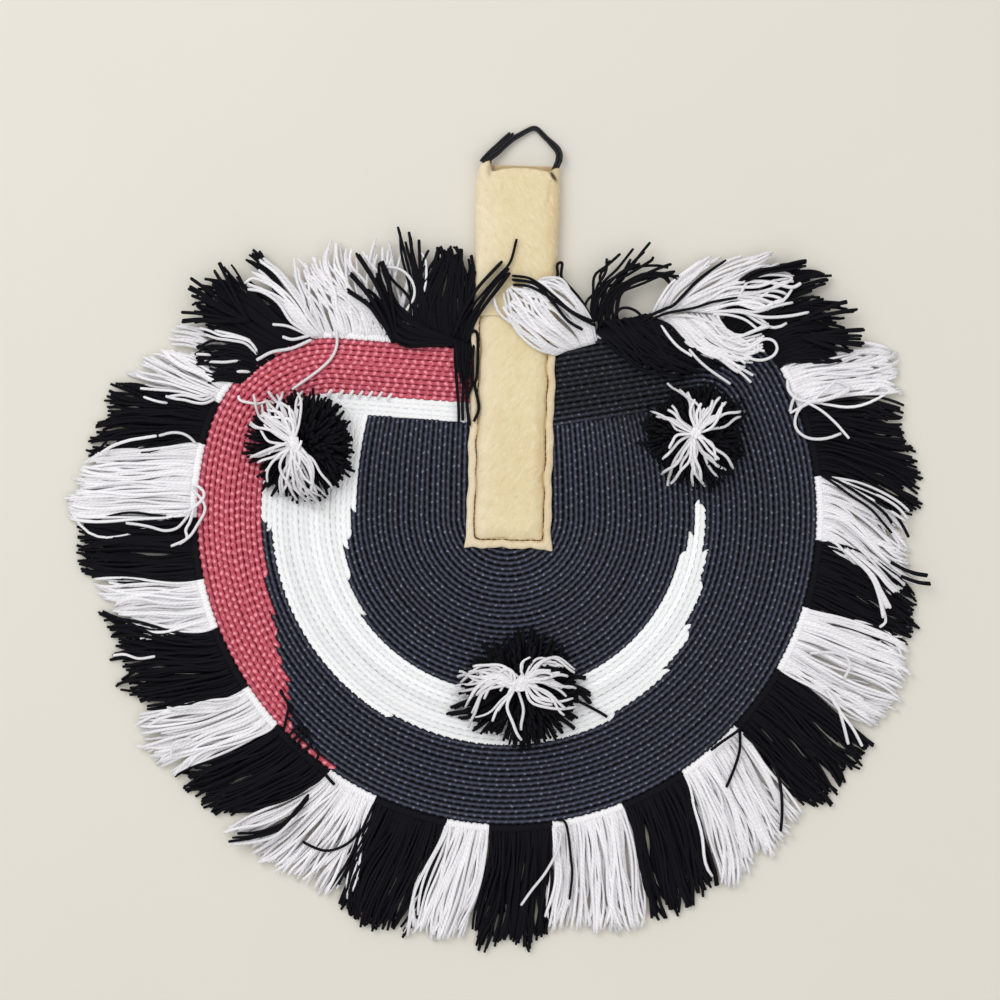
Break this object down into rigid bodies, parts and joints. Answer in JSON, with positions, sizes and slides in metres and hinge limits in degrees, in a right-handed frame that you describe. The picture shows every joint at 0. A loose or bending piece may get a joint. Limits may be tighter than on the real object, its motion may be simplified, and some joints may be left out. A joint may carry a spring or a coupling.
{
  "type": "yarn wall fan",
  "caption": "Round woven hand fan with a padded leather handle, a cord loop to hang it by, an alternating black and white yarn fringe and yarn pompoms on its face.",
  "frame": {"origin": "centre of the bounding box in X and Y, on the surface that the fan lies on with its face up", "axes": "+X across the fan to its right as seen from the front, +Y up along the handle towards the hanging loop, +Z out of the front face"},
  "size_m": [0.426, 0.4114, 0.0258],
  "materials": {
    "dark_strip": "twined rows of smooth bluish charcoal strip with a low sheen",
    "white_strip": "twined rows of smooth white strip with a low sheen",
    "red_strip": "twined rows of dark red strip with paler stitches",
    "black_yarn": "soft matt black cotton yarn",
    "white_yarn": "soft matt off-white cotton yarn",
    "hide": "undyed tan hide, fine grain, low sheen",
    "wood": "plain unfinished wood",
    "thread": "brown waxed sewing thread",
    "black_cord": "black cord, tightly wound, slight sheen"
  },
  "bodies": {
    "fan": {"front_panel": "hide", "front_panel_seam": "thread", "back_panel": "hide", "back_panel_seam": "thread", "handle_core": "wood", "grip_sleeve": "hide", "grip_back_seam": "thread", "loop_knot_left": "black_cord", "loop_knot_right": "black_cord", "centre_coil_dark": "dark_strip", "centre_coil_white": "white_strip", "rim_coil_black": "dark_strip", "rim_coil_white": "white_strip", "rim_coil_red": "red_strip", "fringe_header": "black_yarn", "tassel_01_black": "black_yarn", "tassel_02_white": "white_yarn", "tassel_03_black": "black_yarn", "tassel_04_white": "white_yarn", "tassel_05_black": "black_yarn", "tassel_06_white": "white_yarn", "tassel_07_black": "black_yarn", "tassel_08_white": "white_yarn", "tassel_09_black": "black_yarn", "tassel_10_white": "white_yarn", "tassel_11_black": "black_yarn", "tassel_12_white": "white_yarn", "tassel_13_black": "black_yarn", "tassel_14_white": "white_yarn", "tassel_15_black": "black_yarn", "tassel_16_white": "white_yarn", "tassel_17_black": "black_yarn", "tassel_18_white": "white_yarn", "tassel_19_black": "black_yarn", "tassel_20_white": "white_yarn", "tassel_21_black": "black_yarn", "tassel_22_white": "white_yarn", "tassel_23_black": "black_yarn", "tassel_24_white": "white_yarn", "tassel_25_black": "black_yarn", "tassel_26_white": "white_yarn", "tassel_27_black": "black_yarn", "tassel_28_white": "white_yarn", "tassel_01_lock_over_handle": "black_yarn", "tassel_01_lock_beside_handle": "black_yarn", "tassel_27_lock_over_plate": "black_yarn", "pompom_left_black": "black_yarn", "pompom_left_tuft": "white_yarn", "pompom_left_tie": "black_yarn", "pompom_right_black": "black_yarn", "pompom_right_tuft": "white_yarn", "pompom_right_tie": "black_yarn", "pompom_lower_black": "black_yarn", "pompom_lower_tuft": "white_yarn", "pompom_lower_tie": "black_yarn"},
    "loop": {"hanging_loop": "black_cord"}
  },
  "joints": [
    {"name": "hanging_loop_swing", "type": "hinge", "parent": "fan", "child": "loop", "pos_m": [0.01164, 0.18733, 0.0048], "axis": [0.9996, -0.0279, 0], "range_deg": [-80, 100]}
  ]
}
